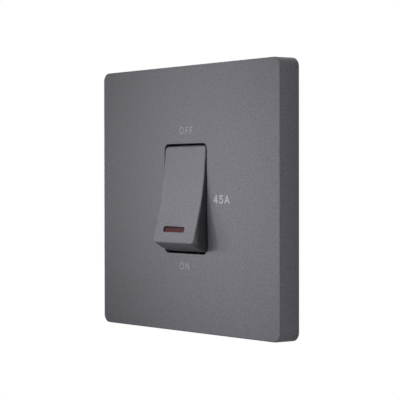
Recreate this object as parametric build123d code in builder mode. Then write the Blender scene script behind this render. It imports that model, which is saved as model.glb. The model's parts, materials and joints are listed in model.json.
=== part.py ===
from build123d import *
import os
from math import asin, atan2, cos, hypot, radians, sin, sqrt, tan

# Double pole wall switch: a square clip-on plate, a rocker with an indicator window and a
# two-pole contact mechanism in a moulded body that stands in the wall box.
# Millimetres and degrees. X is right, Y goes into the wall and Z is up. The wall is the plane
# Y = 0 and the origin is the middle of the plate's back. The rocker is drawn in its off
# position, with its upper end pressed in.

# Front plate, a square moulded cover
plate_width = 86.0
plate_depth = 7.95
plate_draft = 1.4
plate_corner = 2.7
plate_edge = 0.4
plate_wall = 2.2
skirt_wall = 2.0
aperture_width = 20.55
aperture_height = 35.5
aperture_corner = 1.85
aperture_edge = 0.25
aperture_lip = 1.4
plate_rib = 1.2
plate_rib_height = 1.2
pry_notch_width = 9.0
pry_notch_depth = 1.2
pad_radius = 2.0
pad_inset = 9.0
pad_play = 0.1

# Clips that hold the plate on the mounting frame
clip_width = 6.0
clip_thickness = 1.2
clip_nose = 0.9
clip_pitch = 44.0
clip_inset = 3.4
clip_ledge = 1.1
clip_overlap = 0.6
clip_play = 0.1
clip_room = 1.1
clip_tip_gap = 0.3
clip_side_play = 0.4

# Mounting frame, which two screws fix to the wall box
frame_thickness = 2.4
frame_gap = 0.4
frame_boss_height = 2.0
frame_boss_roof = 0.9
frame_rib = 1.4
frame_rib_height = 1.6
fixing_centres = 60.3
fixing_hole = 4.2
fixing_head = 8.2
fixing_seat = 1.4

# Rocker, seen from its pivot: its rise is to the front, its skirt is behind
pivot_depth = 4.9
rocker_side_gap = 0.3
rocker_end_gap = 0.95
rocker_rise = 6.65
rocker_dip = 5.7
rocker_blend = 8.0
rocker_tilt = 10.3
rocker_wall = 1.6
rocker_skirt = 1.5
rocker_corner = 1.3
rocker_edge = 0.5
trunnion_radius = 2.0
trunnion_play = 0.05
trunnion_bearing = 1.6

# Indicator window and its lens
window_width = 10.45
window_height = 1.95
window_inset = 6.2
window_shift = -0.7
window_recess = 0.35
lens_play = 0.08
lens_flange = 0.8
lens_flange_thickness = 0.8

# Spring plungers in the rocker, one for each pole
pole_spacing = 9.6
tube_radius = 3.8
tube_end = 2.5
plunger_radius = 2.4
plunger_play = 0.1
plunger_top = 0.5
plunger_head = 5.0
plunger_reach = 9.0
plunger_nose = 1.5
plunger_pin_radius = 0.9
plunger_pin_length = 2.6
spring_radius = 1.75
spring_wire = 0.55
spring_turns = 4.0
spring_seat = 5.0
spring_play = 0.08

# Contact arms, which rock on the nose of a pivot bracket
arm_tilt = 7.5
arm_thickness = 1.2
arm_width = 5.0
arm_upper = 13.2
arm_lower = 9.0
arm_end = 1.6
saddle_floor = 2.2
saddle_half = 2.0
saddle_foot = 3.2
saddle_play = 0.13
pivot_nose = 0.8
pivot_play = 0.1
pivot_width = 3.2
contact_reach = 11.0
contact_radius = 2.0
contact_step = 0.5
contact_dome = 0.35
contact_gap = 0.1
fixed_contact_radius = 2.2
fixed_contact_height = 0.8
strip_thickness = 1.2
strip_width = 5.6
strip_margin = 0.4
strip_overlap = 1.5

# Terminals: brass blocks with a cable bore and a clamping screw
terminal_spacing = 16.6
terminal_width = 10.6
terminal_length = 11.5
terminal_start = 16.5
terminal_bore = 6.5
terminal_front = 1.3
terminal_rear = 2.8
terminal_edge = 0.4
terminal_screw_size = 4.0
screw_play = 0.05
screw_tip_gap = 0.3
screw_slot = 0.9
screw_slot_depth = 1.2
earth_width = 7.2
earth_length = 9.0
earth_place = 22.5
earth_bore = 5.0
earth_screw_size = 3.0

# Switch body, its collar round the rocker, and its rear cover
body_wall = 1.8
body_corner = 2.0
collar_side_play = 0.5
collar_end_play = 0.4
collar_wall = 1.9
collar_gap = 0.3
partition = 1.6
rib = 1.2
rib_play = 0.2
pedestal_spread = 3.5
post_radius = 2.6
post_gap = 0.6
terminal_play = 0.2
cable_hole_play = 0.75
pocket_wall = 1.4
cover_thickness = 2.0
cover_gap = 0.4
cover_edge = 0.5
shroud_wall = 1.0
shroud_height = 1.0
screw_access_play = 0.9
case_screw_size = 2.5
case_screw_play = 0.1
case_screw_head = 5.0
case_screw_head_height = 1.3
case_screw_tip_gap = 0.3

# Neon lamp, resistor, leads and their holder behind the rocker's lower half
lamp_radius = 2.3
lamp_length = 10.0
lamp_depth = 7.0
lamp_drop = 13.5
lamp_play = 0.1
resistor_radius = 1.1
resistor_length = 4.6
resistor_gap = 0.4
resistor_play = 0.1
resistor_leg_gap = 0.5
lead_radius = 0.3
lead_reach = 4.0
lead_bend = 1.0
lead_hole_radius = 0.8
tray_floor = 1.2
tray_gap = 0.4
tray_half_height = 3.5
cradle_thickness = 1.6
cradle_spread = 6.4
leg_width = 2.6
leg_gap = 0.3
holder_play = 0.2
peg_radius = 0.8
peg_length = 3.0

# Depths in front of the wall are negative
front_y = -plate_depth
inner_y = front_y + plate_wall
lip_y = front_y + aperture_lip
frame_y = -frame_thickness
pivot_y = front_y + pivot_depth
collar_front_y = lip_y + collar_gap
pole_x = pole_spacing / 2
terminal_x = terminal_spacing / 2

# Plate and frame outlines
plate_flare = plate_depth * tan(radians(plate_draft))
back_width = plate_width + 2 * plate_flare
back_corner = plate_corner + plate_flare
hollow_width = back_width - 2 * skirt_wall
hollow_corner = max(back_corner - skirt_wall, aperture_edge)
frame_width = hollow_width - 2 * frame_gap
clip_x = frame_width / 2 - clip_inset
ledge_y = frame_y + clip_ledge
ledge_x = clip_x + clip_nose - clip_overlap
pad_pitch = plate_width - 2 * pad_inset

# Rocker and collar outlines
rocker_width = aperture_width - 2 * rocker_side_gap
rocker_reach = hypot(aperture_height / 2 - rocker_end_gap, pivot_depth)
well_width = rocker_width + 2 * collar_side_play
well_height = 2 * (rocker_reach + collar_end_play)
collar_width = well_width + 2 * collar_wall
collar_height = well_height + 2 * collar_wall
trunnion_end = well_width / 2 + trunnion_bearing
window_place = rocker_reach - window_inset

# Directions of the tilted rocker: up along its face and out to the front
tilt = radians(rocker_tilt)
rocker_up = Vector(0, sin(tilt), cos(tilt))
rocker_out = Vector(0, -cos(tilt), sin(tilt))
rocker_pivot = Vector(0, pivot_y, 0)
rocker_side = Plane(origin=rocker_pivot, x_dir=rocker_up, z_dir=(1, 0, 0))
rocker_front = Plane(origin=rocker_pivot, x_dir=(1, 0, 0), z_dir=rocker_out)

# Directions of a tilted contact arm, which leans the other way
lean = radians(arm_tilt)
arm_pivot_y = pivot_y + plunger_reach + saddle_floor
arm_up = Vector(0, -sin(lean), cos(lean))

# Path of the plunger's nose across an arm, from mid travel to rest, in the arm's directions
nose_reach = plunger_reach - plunger_nose
nose_front = arm_pivot_y - pivot_y - nose_reach
rest_front = arm_pivot_y - pivot_y - nose_reach * cos(tilt)
rest_drop = nose_reach * sin(tilt)
rest_arm_front = rest_front * cos(lean) + rest_drop * sin(lean)
rest_arm_drop = rest_drop * cos(lean) - rest_front * sin(lean)
saddle_slope = (rest_arm_front - nose_front) / rest_arm_drop
saddle_bottom = nose_front - (plunger_nose + saddle_play) * sqrt(1 + saddle_slope ** 2)
saddle_top = saddle_bottom + saddle_slope * saddle_half

# Depth where the moving contact's dome arrives, and what stands behind it
dome_radius = (contact_radius ** 2 + contact_dome ** 2) / (2 * contact_dome)
dome_center = dome_radius - contact_step - contact_dome
dome_arrival = contact_reach * sin(lean) - dome_center * cos(lean) + dome_radius
fixed_contact_y = arm_pivot_y + dome_arrival + contact_gap
fixed_contact_z = contact_reach * cos(lean)
strip_y = fixed_contact_y + fixed_contact_height
terminal_y = strip_y + strip_thickness
terminal_depth = terminal_front + terminal_bore + terminal_rear
bore_y = terminal_y + terminal_front + terminal_bore / 2
terminal_rear_y = terminal_y + terminal_depth
body_rear_y = terminal_rear_y + cover_gap
cover_rear_y = body_rear_y + cover_thickness

# Lamp holder's legs, outside both the rocker's well and the resistor
lead_x = lamp_length / 2 + lead_reach
leg_inner_x = max(well_width / 2 + leg_gap, lead_x + resistor_radius + resistor_leg_gap)
peg_x = leg_inner_x + leg_width / 2
holder_outer = leg_inner_x + leg_width

# Body outline, wrapped round the terminals and the lamp holder, with a screw post at each end
terminal_outer = terminal_x + terminal_width / 2
terminal_end = terminal_start + terminal_length
terminal_middle = terminal_start + terminal_length / 2
strip_bend = terminal_start + strip_overlap
inner_half = max(terminal_outer + terminal_play, holder_outer + holder_play)
body_width = 2 * (inner_half + body_wall)
body_height = 2 * (terminal_end + terminal_play + body_wall)
post_z = collar_height / 2 + collar_gap + post_gap + post_radius
inner_width = 2 * inner_half
inner_height = body_height - 2 * body_wall
well_clear_z = well_height / 2 + collar_end_play

# Ribs behind the plate, and the barrier between the poles on the rear cover
plate_rib_x = (collar_width / 2 + clip_x) / 2
plate_rib_z = (collar_height + hollow_width) / 4
barrier_height = 2 * (post_z - case_screw_head / 2 - shroud_wall)

# Earth pocket on the body's side
earth_depth = terminal_front + earth_bore + terminal_rear
earth_y = terminal_rear_y - earth_depth
earth_bore_y = earth_y + terminal_front + earth_bore / 2
pocket_width = earth_width + 2 * terminal_play
pocket_height = earth_length + 2 * terminal_play
pocket_x = -body_width / 2 - pocket_width / 2
pocket_outer_x = pocket_x - pocket_width / 2 - pocket_wall
pocket_outer_height = pocket_height + 2 * pocket_wall

# Lamp and holder
lamp_y = pivot_y + lamp_depth
tray_y = lamp_y + lamp_radius + tray_gap
partition_y = tray_y + tray_floor + rib_play
resistor_y = lamp_y + lead_bend + resistor_gap


def at_depth(y):
    """Plane parallel to the wall, seen from the front: X right, Z up."""
    return Plane.XZ.offset(-y)


def rocker_section(inset):
    """Side section of the rocker: two flats and a dish, with round ends about the pivot."""
    reach = rocker_reach - inset
    rise = rocker_rise - inset
    slope = tan(radians(rocker_dip))
    blend_rise = rise + rocker_blend * tan(radians(rocker_dip) / 2)
    offset_rise = blend_rise - slope * rocker_blend
    square = 1 + slope ** 2
    corner = (sqrt(square * reach ** 2 - offset_rise ** 2) - slope * offset_rise) / square
    corner_rise = offset_rise + slope * corner
    skirt = sqrt(reach ** 2 - rocker_skirt ** 2)
    turn = (atan2(corner_rise, corner) - asin(rocker_skirt / reach)) / 2
    end_middle = reach * cos(turn)
    middle_rise = reach * sin(turn)
    with BuildSketch(rocker_side) as section:
        with BuildLine():
            ThreePointArc((-rocker_blend, blend_rise), (0, rise), (rocker_blend, blend_rise))
            Line((rocker_blend, blend_rise), (corner, corner_rise))
            ThreePointArc((corner, corner_rise), (end_middle, middle_rise), (skirt, -rocker_skirt))
            Line((skirt, -rocker_skirt), (-skirt, -rocker_skirt))
            ThreePointArc((-skirt, -rocker_skirt), (-end_middle, middle_rise), (-corner, corner_rise))
            Line((-corner, corner_rise), (-rocker_blend, blend_rise))
        make_face()
    return section.sketch


def window_plane():
    """Plane of the rocker's lower flat, centred on the indicator window."""
    dip = radians(rocker_dip)
    rise = rocker_rise + rocker_blend * tan(dip / 2) + (window_place - rocker_blend) * tan(dip)
    center = rocker_pivot + Vector(window_shift, 0, 0) - rocker_up * window_place + rocker_out * rise
    normal = rocker_up * sin(dip) + rocker_out * cos(dip)
    return Plane(origin=center, x_dir=(1, 0, 0), z_dir=normal)


def save(piece, name):
    """Label a finished piece and write it to its own file."""
    piece.part.label = name
    export_step(piece.part, f"parts/{name}.step")


os.makedirs("parts", exist_ok=True)

# Front plate: a drafted square shell with the rocker's aperture, ribs behind and four clips
with BuildPart() as front_plate:
    with BuildSketch(at_depth(0)):
        RectangleRounded(back_width, back_width, back_corner)
    extrude(amount=plate_depth, taper=plate_draft)
    fillet(front_plate.faces().sort_by(Axis.Y)[0].edges(), plate_edge)
    with BuildSketch(at_depth(0)):
        RectangleRounded(hollow_width, hollow_width, hollow_corner)
    extrude(amount=plate_depth - plate_wall, mode=Mode.SUBTRACT)
    with BuildSketch(at_depth(inner_y)):
        Rectangle(collar_width + 2 * collar_gap, collar_height + 2 * collar_gap)
    extrude(amount=plate_wall - aperture_lip, mode=Mode.SUBTRACT)
    with BuildSketch(at_depth(inner_y)):
        RectangleRounded(aperture_width, aperture_height, aperture_corner)
    extrude(amount=plate_wall, mode=Mode.SUBTRACT)
    fillet(front_plate.faces().sort_by(Axis.Y)[0].inner_wires()[0].edges(), aperture_edge)
    with BuildSketch(at_depth(frame_y - pad_play)):
        with GridLocations(pad_pitch, pad_pitch, 2, 2):
            Circle(pad_radius)
    extrude(amount=frame_y - pad_play - inner_y)
    with BuildSketch(at_depth(inner_y + plate_rib_height)):
        with GridLocations(2 * plate_rib_x, 0, 2, 1):
            Rectangle(plate_rib, hollow_width)
        with GridLocations(0, 2 * plate_rib_z, 1, 2):
            Rectangle(hollow_width, plate_rib)
    extrude(amount=plate_rib_height)
    for side in (-1, 1):
        for level in (-clip_pitch / 2, clip_pitch / 2):
            with BuildSketch(Plane.XY.offset(level)):
                with BuildLine():
                    Polyline(
                        (side * (clip_x - clip_thickness), inner_y),
                        (side * (clip_x - clip_thickness), -clip_tip_gap),
                        (side * clip_x, -clip_tip_gap),
                        (side * (clip_x + clip_nose), ledge_y + clip_play),
                        (side * clip_x, ledge_y + clip_play),
                        (side * clip_x, inner_y),
                        close=True,
                    )
                make_face()
            extrude(amount=clip_width / 2, both=True)
    with BuildSketch(at_depth(0)):
        with Locations((0, -hollow_width / 2)):
            Rectangle(pry_notch_width, 2 * (skirt_wall + plate_flare))
    extrude(amount=pry_notch_depth, mode=Mode.SUBTRACT)
save(front_plate, "front_plate")

# Mounting frame: a ribbed plate round the collar, with fixing holes and clip windows
with BuildPart() as mounting_frame:
    with BuildSketch(at_depth(0)):
        RectangleRounded(frame_width, frame_width, hollow_corner)
        Rectangle(collar_width + 2 * collar_gap, collar_height + 2 * collar_gap, mode=Mode.SUBTRACT)
    extrude(amount=frame_thickness)
    with BuildSketch(at_depth(frame_y)):
        Rectangle(
            collar_width + 2 * (collar_gap + frame_rib),
            collar_height + 2 * (collar_gap + frame_rib),
        )
        with GridLocations(collar_width + 2 * collar_gap + frame_rib, 0, 2, 1):
            Rectangle(frame_rib, frame_width - frame_rib)
        Rectangle(collar_width + 2 * collar_gap, collar_height + 2 * collar_gap, mode=Mode.SUBTRACT)
    extrude(amount=frame_rib_height)
    with BuildSketch(at_depth(frame_y)):
        RectangleRounded(frame_width, frame_width, hollow_corner)
        Rectangle(frame_width - 2 * frame_rib, frame_width - 2 * frame_rib, mode=Mode.SUBTRACT)
    extrude(amount=frame_rib_height)
    with BuildSketch(at_depth(frame_y)):
        with GridLocations(0, 2 * post_z, 1, 2):
            Circle(post_radius)
    extrude(amount=frame_boss_height)
    with BuildSketch(at_depth(0)):
        with GridLocations(0, 2 * post_z, 1, 2):
            Circle(case_screw_size / 2 + case_screw_play)
    extrude(amount=frame_thickness + frame_boss_height - frame_boss_roof, mode=Mode.SUBTRACT)
    with Locations(at_depth(frame_y)):
        with GridLocations(fixing_centres, 0, 2, 1):
            CounterBoreHole(fixing_hole / 2, fixing_head / 2, frame_thickness - fixing_seat)
    for side in (-1, 1):
        window_start = clip_x - clip_thickness - clip_room
        undercut_end = clip_x + clip_nose + clip_side_play
        with BuildSketch(at_depth(0)):
            with Locations((side * (window_start + ledge_x) / 2, 0)):
                with GridLocations(0, clip_pitch, 1, 2):
                    Rectangle(ledge_x - window_start, clip_width + 2 * clip_side_play)
        extrude(amount=frame_thickness, mode=Mode.SUBTRACT)
        with BuildSketch(at_depth(0)):
            with Locations((side * (window_start + undercut_end) / 2, 0)):
                with GridLocations(0, clip_pitch, 1, 2):
                    Rectangle(undercut_end - window_start, clip_width + 2 * clip_side_play)
        extrude(amount=frame_thickness - clip_ledge, mode=Mode.SUBTRACT)
save(mounting_frame, "mounting_frame")

# Switch body: an open tub with a collar for the rocker, posts, ribs and an earth pocket
with BuildPart() as switch_body:
    with BuildSketch(at_depth(body_rear_y)):
        RectangleRounded(body_width, body_height, body_corner)
    extrude(amount=body_rear_y)
    with BuildSketch(at_depth(body_rear_y)):
        Rectangle(inner_width, inner_height)
    extrude(amount=body_rear_y - body_wall, mode=Mode.SUBTRACT)
    with BuildSketch(at_depth(0)):
        Rectangle(collar_width, collar_height)
    extrude(amount=-collar_front_y)
    with BuildSketch(at_depth(body_rear_y)):
        with Locations((pocket_outer_x, -earth_place)):
            Rectangle(
                pocket_width + 2 * pocket_wall,
                pocket_outer_height,
                align=(Align.MIN, Align.CENTER),
            )
    extrude(amount=body_rear_y - earth_y + pocket_wall)
    with BuildSketch(at_depth(body_rear_y)):
        with Locations((pocket_x, -earth_place)):
            Rectangle(pocket_width, pocket_height)
    extrude(amount=body_rear_y - earth_y, mode=Mode.SUBTRACT)
    with BuildSketch(at_depth(body_rear_y)):
        with GridLocations(0, 2 * post_z, 1, 2):
            Circle(post_radius)
    extrude(amount=body_rear_y)
    with BuildSketch(at_depth(body_rear_y)):
        Rectangle(partition, inner_height + body_wall)
    extrude(amount=body_rear_y - partition_y)
    with BuildSketch(at_depth(body_rear_y)):
        for end in (-1, 1):
            with Locations((0, end * (well_clear_z + inner_height / 2) / 2)):
                Rectangle(partition, inner_height / 2 - well_clear_z)
    extrude(amount=body_rear_y - body_wall)
    with BuildSketch(at_depth(body_rear_y)):
        with GridLocations(0, 2 * (terminal_start - rib_play) - rib, 1, 2):
            Rectangle(inner_width + body_wall, rib)
    extrude(amount=body_rear_y - terminal_y - rib_play)
    with BuildSketch(at_depth(strip_y)):
        for side in (-1, 1):
            for end in (-1, 1):
                with Locations((side * terminal_x, end * (well_clear_z + inner_height / 2) / 2)):
                    with GridLocations(2 * pedestal_spread, 0, 2, 1):
                        Rectangle(rib, inner_height / 2 - well_clear_z)
    extrude(amount=strip_y - body_wall)
    with BuildSketch(at_depth(body_wall + peg_length)):
        with Locations((0, -lamp_drop)):
            with GridLocations(2 * peg_x, 0, 2, 1):
                Circle(peg_radius)
    extrude(amount=peg_length)
    with BuildSketch(at_depth(body_wall)):
        Rectangle(well_width, well_height)
    extrude(amount=body_wall - collar_front_y, mode=Mode.SUBTRACT)
    with BuildSketch(Plane.YZ.offset(-collar_width / 2)):
        with Locations((pivot_y, 0)):
            Circle(trunnion_radius + trunnion_play)
    extrude(amount=collar_width, mode=Mode.SUBTRACT)
    with BuildSketch(at_depth(body_rear_y)):
        with GridLocations(0, 2 * post_z, 1, 2):
            Circle(case_screw_size / 2 + case_screw_play)
    extrude(amount=body_rear_y, mode=Mode.SUBTRACT)
    for wall_z in (-body_height / 2, inner_height / 2):
        with BuildSketch(Plane.XY.offset(wall_z)):
            with Locations((0, bore_y)):
                with GridLocations(terminal_spacing, 0, 2, 1):
                    Circle(terminal_bore / 2 + cable_hole_play)
        extrude(amount=body_wall, mode=Mode.SUBTRACT)
    with BuildSketch(Plane.XY.offset(-earth_place - pocket_outer_height / 2)):
        with Locations((pocket_x, earth_bore_y)):
            Circle(earth_bore / 2 + cable_hole_play)
    extrude(amount=pocket_wall, mode=Mode.SUBTRACT)
save(switch_body, "switch_body")

# Rear cover: closes the body and its earth pocket, with a shrouded hole over each terminal
# screw and a barrier between the poles
with BuildPart() as rear_cover:
    with BuildSketch(at_depth(cover_rear_y)):
        RectangleRounded(body_width, body_height, body_corner)
        with Locations((pocket_outer_x, -earth_place)):
            Rectangle(
                pocket_width + 2 * pocket_wall,
                pocket_outer_height,
                align=(Align.MIN, Align.CENTER),
            )
    extrude(amount=cover_thickness)
    chamfer(rear_cover.faces().sort_by(Axis.Y)[-1].edges(), cover_edge)
    with BuildSketch(at_depth(cover_rear_y + shroud_height)):
        with GridLocations(terminal_spacing, 2 * terminal_middle, 2, 2):
            Circle(terminal_screw_size / 2 + screw_access_play + shroud_wall)
        with Locations((pocket_x, -earth_place)):
            Circle(earth_screw_size / 2 + screw_access_play + shroud_wall)
        Rectangle(partition, barrier_height)
    extrude(amount=shroud_height)
    with BuildSketch(at_depth(cover_rear_y + shroud_height)):
        with GridLocations(terminal_spacing, 2 * terminal_middle, 2, 2):
            Circle(terminal_screw_size / 2 + screw_access_play)
        with Locations((pocket_x, -earth_place)):
            Circle(earth_screw_size / 2 + screw_access_play)
        with GridLocations(0, 2 * post_z, 1, 2):
            Circle(case_screw_size / 2 + case_screw_play)
    extrude(amount=cover_thickness + shroud_height, mode=Mode.SUBTRACT)
    with BuildSketch(at_depth(cover_rear_y)):
        with GridLocations(0, 2 * post_z, 1, 2):
            Circle(case_screw_head / 2 + case_screw_play)
    extrude(amount=case_screw_head_height, mode=Mode.SUBTRACT)
save(rear_cover, "rear_cover")

# Case screws: two long screws from the rear cover into the frame's bosses
with BuildPart() as case_screws:
    screw_end_y = frame_y - frame_boss_height + frame_boss_roof + case_screw_tip_gap
    with BuildSketch(at_depth(cover_rear_y)):
        with GridLocations(0, 2 * post_z, 1, 2):
            Circle(case_screw_head / 2)
    extrude(amount=case_screw_head_height)
    with BuildSketch(at_depth(cover_rear_y)):
        with GridLocations(0, 2 * post_z, 1, 2):
            Circle(case_screw_size / 2)
    extrude(amount=cover_rear_y - screw_end_y)
    with BuildSketch(at_depth(cover_rear_y)):
        with GridLocations(0, 2 * post_z, 1, 2):
            Rectangle(case_screw_head, screw_slot)
    extrude(amount=case_screw_head_height / 2, mode=Mode.SUBTRACT)
save(case_screws, "case_screws")

# Rocker: a hollow cap with trunnions, two plunger tubes and the indicator window
with BuildPart() as rocker:
    extrude(rocker_section(0), amount=rocker_width / 2, both=True)
    round_ends = rocker.faces().filter_by(GeomType.CYLINDER).filter_by(
        lambda face: abs(face.radius - rocker_reach) < rocker_edge
    )
    fillet(round_ends.edges().filter_by(GeomType.CIRCLE), rocker_corner)
    crown = rocker.faces().filter_by(
        lambda face: face.normal_at(face.center()).dot(rocker_out) > cos(radians(2 * rocker_dip))
    )
    crown_edges = crown.edges()
    crown_rim = crown_edges.filter_by(
        lambda edge: sum(edge.is_same(other) for other in crown_edges) == 1
    )
    fillet(crown_rim, rocker_edge)
    hollow_half = rocker_width / 2 - rocker_wall
    extrude(rocker_section(rocker_wall), amount=hollow_half, both=True, mode=Mode.SUBTRACT)
    with BuildSketch(rocker_front.offset(-tube_end)):
        with GridLocations(pole_spacing, 0, 2, 1):
            Circle(tube_radius)
    extrude(amount=tube_end + rocker_rise - rocker_wall / 2)
    with BuildSketch(rocker_front.offset(-tube_end)):
        with GridLocations(pole_spacing, 0, 2, 1):
            Circle(plunger_radius + plunger_play)
    extrude(amount=tube_end + spring_seat, mode=Mode.SUBTRACT)
    for side in (-1, 1):
        with BuildSketch(Plane.YZ.offset(side * (rocker_width / 2 - rocker_wall / 2))):
            with Locations((pivot_y, 0)):
                Circle(trunnion_radius)
        extrude(amount=side * (trunnion_end - rocker_width / 2 + rocker_wall / 2))
    with BuildSketch(window_plane()):
        SlotOverall(window_width, window_height)
    extrude(amount=-2 * rocker_wall, mode=Mode.SUBTRACT)
save(rocker, "rocker")

# Indicator lens: a clear red bar in the window, with a flange behind the rocker's wall
with BuildPart() as indicator_lens:
    with BuildSketch(window_plane().offset(-window_recess)):
        SlotOverall(window_width - 2 * lens_play, window_height - 2 * lens_play)
    extrude(amount=window_recess - rocker_wall - lens_play)
    with BuildSketch(window_plane().offset(-rocker_wall - lens_play)):
        RectangleRounded(
            window_width + 2 * lens_flange,
            window_height + 2 * lens_flange,
            lens_flange,
        )
    extrude(amount=-lens_flange_thickness)
save(indicator_lens, "indicator_lens")

# Springs, plungers, contact arms, strips and brackets: one set for each pole
for pole, pole_side in (("live", -1), ("neutral", 1)):
    axis_origin = rocker_pivot + Vector(pole_side * pole_x, 0, 0)
    plunger_axis = Axis(axis_origin, rocker_out)
    plunger_side = Plane(origin=axis_origin, x_dir=(1, 0, 0), z_dir=-rocker_up)
    arm_pivot = Vector(pole_side * pole_x, arm_pivot_y, 0)
    arm_side = Plane(origin=arm_pivot, x_dir=arm_up, z_dir=(1, 0, 0))

    # Plunger: a turned pin with a round nose, a guided head and a spigot inside its spring
    with BuildPart() as plunger:
        with BuildSketch(plunger_side):
            with BuildLine():
                nose_side = (plunger_nose, -nose_reach)
                nose_middle = (
                    plunger_nose * sin(radians(45)),
                    -nose_reach - plunger_nose * cos(radians(45)),
                )
                ThreePointArc((0, -plunger_reach), nose_middle, nose_side)
                Polyline(
                    nose_side,
                    (plunger_nose, -plunger_top - plunger_head),
                    (plunger_radius, -plunger_top - plunger_head),
                    (plunger_radius, -plunger_top),
                    (plunger_pin_radius, -plunger_top),
                    (plunger_pin_radius, plunger_pin_length - plunger_top),
                    (0, plunger_pin_length - plunger_top),
                    (0, -plunger_reach),
                )
            make_face()
        revolve(axis=plunger_axis)
    save(plunger, f"{pole}_plunger")

    # Spring: wound wire between the plunger's head and the end of its tube
    with BuildPart() as spring:
        spring_start = spring_wire / 2 + spring_play - plunger_top
        spring_height = spring_seat - spring_play - spring_wire / 2 - spring_start
        with BuildLine() as coil:
            Helix(
                spring_height / spring_turns,
                spring_height,
                spring_radius,
                center=axis_origin + rocker_out * spring_start,
                direction=rocker_out,
            )
        with BuildSketch(Plane(origin=coil.line @ 0, z_dir=coil.line % 0)):
            RegularPolygon(spring_wire / 2, 6)
        sweep(is_frenet=True)
    save(spring, f"{pole}_spring")

    # Contact arm: a pressed bar with a saddle for the plunger and a groove for its pivot
    with BuildPart() as contact_arm:
        with BuildSketch(arm_side):
            with BuildLine():
                Polyline(
                    (-arm_lower, 0),
                    (-arm_lower, arm_thickness),
                    (-saddle_foot, arm_thickness),
                    (-saddle_half, saddle_top),
                    (0, saddle_bottom),
                    (saddle_half, saddle_top),
                    (saddle_foot, arm_thickness),
                    (arm_upper, arm_thickness),
                    (arm_upper, 0),
                    close=True,
                )
            make_face()
        extrude(amount=arm_width / 2, both=True)
        end_edges = contact_arm.faces().sort_by(Axis(arm_pivot, arm_up))
        for end_face in (end_edges[0], end_edges[-1]):
            fillet(end_face.edges().filter_by(Axis.X, reverse=True), arm_end)
        with BuildSketch(arm_side):
            Circle(pivot_nose + pivot_play)
        extrude(amount=pivot_width / 2 + pivot_play, both=True, mode=Mode.SUBTRACT)
    save(contact_arm, f"{pole}_contact_arm")

    # Moving contact: a domed tip on the back of the arm's upper end
    with BuildPart() as moving_contact:
        tip_center = arm_pivot + arm_up * contact_reach
        tip_back = Vector(0, cos(lean), sin(lean))
        with BuildSketch(Plane(origin=tip_center, x_dir=(1, 0, 0), z_dir=-arm_up)):
            with BuildLine():
                dome_middle = (
                    dome_radius * sin(asin(contact_radius / dome_radius) / 2),
                    dome_radius * cos(asin(contact_radius / dome_radius) / 2) - dome_center,
                )
                ThreePointArc(
                    (0, -contact_step - contact_dome),
                    (dome_middle[0], -dome_middle[1]),
                    (contact_radius, -contact_step),
                )
                Polyline(
                    (contact_radius, -contact_step),
                    (contact_radius, 0),
                    (0, 0),
                    (0, -contact_step - contact_dome),
                )
            make_face()
        revolve(axis=Axis(tip_center, tip_back))
    save(moving_contact, f"{pole}_moving_contact")

    # Fixed contact: a flat tip on the supply strip
    with BuildPart() as fixed_contact:
        with BuildSketch(at_depth(strip_y)):
            with Locations((pole_side * pole_x, fixed_contact_z)):
                Circle(fixed_contact_radius)
        extrude(amount=fixed_contact_height)
    save(fixed_contact, f"{pole}_fixed_contact")

    # Contact strip: from the fixed contact up to the supply terminal
    strip_wide = terminal_width - 2 * strip_margin
    with BuildPart() as contact_strip:
        strip_start = fixed_contact_z - fixed_contact_radius - strip_margin
        with BuildSketch(at_depth(terminal_y)):
            with Locations((pole_side * pole_x, strip_start)):
                Rectangle(strip_width, strip_bend - strip_start, align=(Align.CENTER, Align.MIN))
            with Locations((pole_side * terminal_x, terminal_start)):
                Rectangle(strip_wide, terminal_length, align=(Align.CENTER, Align.MIN))
        extrude(amount=strip_thickness)
    save(contact_strip, f"{pole}_contact_strip")

    # Pivot bracket: from the load terminal up to the nose that the arm rocks on
    with BuildPart() as pivot_bracket:
        lead_foot = lamp_drop - tray_half_height
        with BuildSketch(at_depth(terminal_y)):
            with Locations((pole_side * pole_x, pivot_nose)):
                Rectangle(strip_width, strip_bend + pivot_nose, align=(Align.CENTER, Align.MAX))
            with Locations((pole_side * terminal_x, -lead_foot)):
                Rectangle(strip_wide, terminal_end - lead_foot, align=(Align.CENTER, Align.MAX))
        extrude(amount=strip_thickness)
        with BuildSketch(Plane.YZ.offset(pole_side * pole_x)):
            with Locations((arm_pivot_y, 0)):
                Circle(pivot_nose)
                Rectangle(terminal_y - arm_pivot_y, 2 * pivot_nose, align=(Align.MIN, Align.CENTER))
        extrude(amount=pivot_width / 2, both=True)
    save(pivot_bracket, f"{pole}_pivot_bracket")

    # Terminal blocks: supply at the top, load at the bottom
    for terminal, end in (("supply", 1), ("load", -1)):
        with BuildPart() as terminal_block:
            middle_z = end * terminal_middle
            with BuildSketch(at_depth(terminal_rear_y)):
                with Locations((pole_side * terminal_x, middle_z)):
                    Rectangle(terminal_width, terminal_length)
            extrude(amount=terminal_depth)
            chamfer(terminal_block.edges().filter_by(Axis.Z), terminal_edge)
            with BuildSketch(Plane.XY.offset(middle_z)):
                with Locations((pole_side * terminal_x, bore_y)):
                    Circle(terminal_bore / 2)
            extrude(amount=terminal_length / 2, both=True, mode=Mode.SUBTRACT)
            with BuildSketch(at_depth(terminal_rear_y)):
                with Locations((pole_side * terminal_x, middle_z)):
                    Circle(terminal_screw_size / 2 + screw_play)
            extrude(amount=terminal_rear + terminal_bore / 2, mode=Mode.SUBTRACT)
        save(terminal_block, f"{terminal}_{pole}_terminal")

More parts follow.
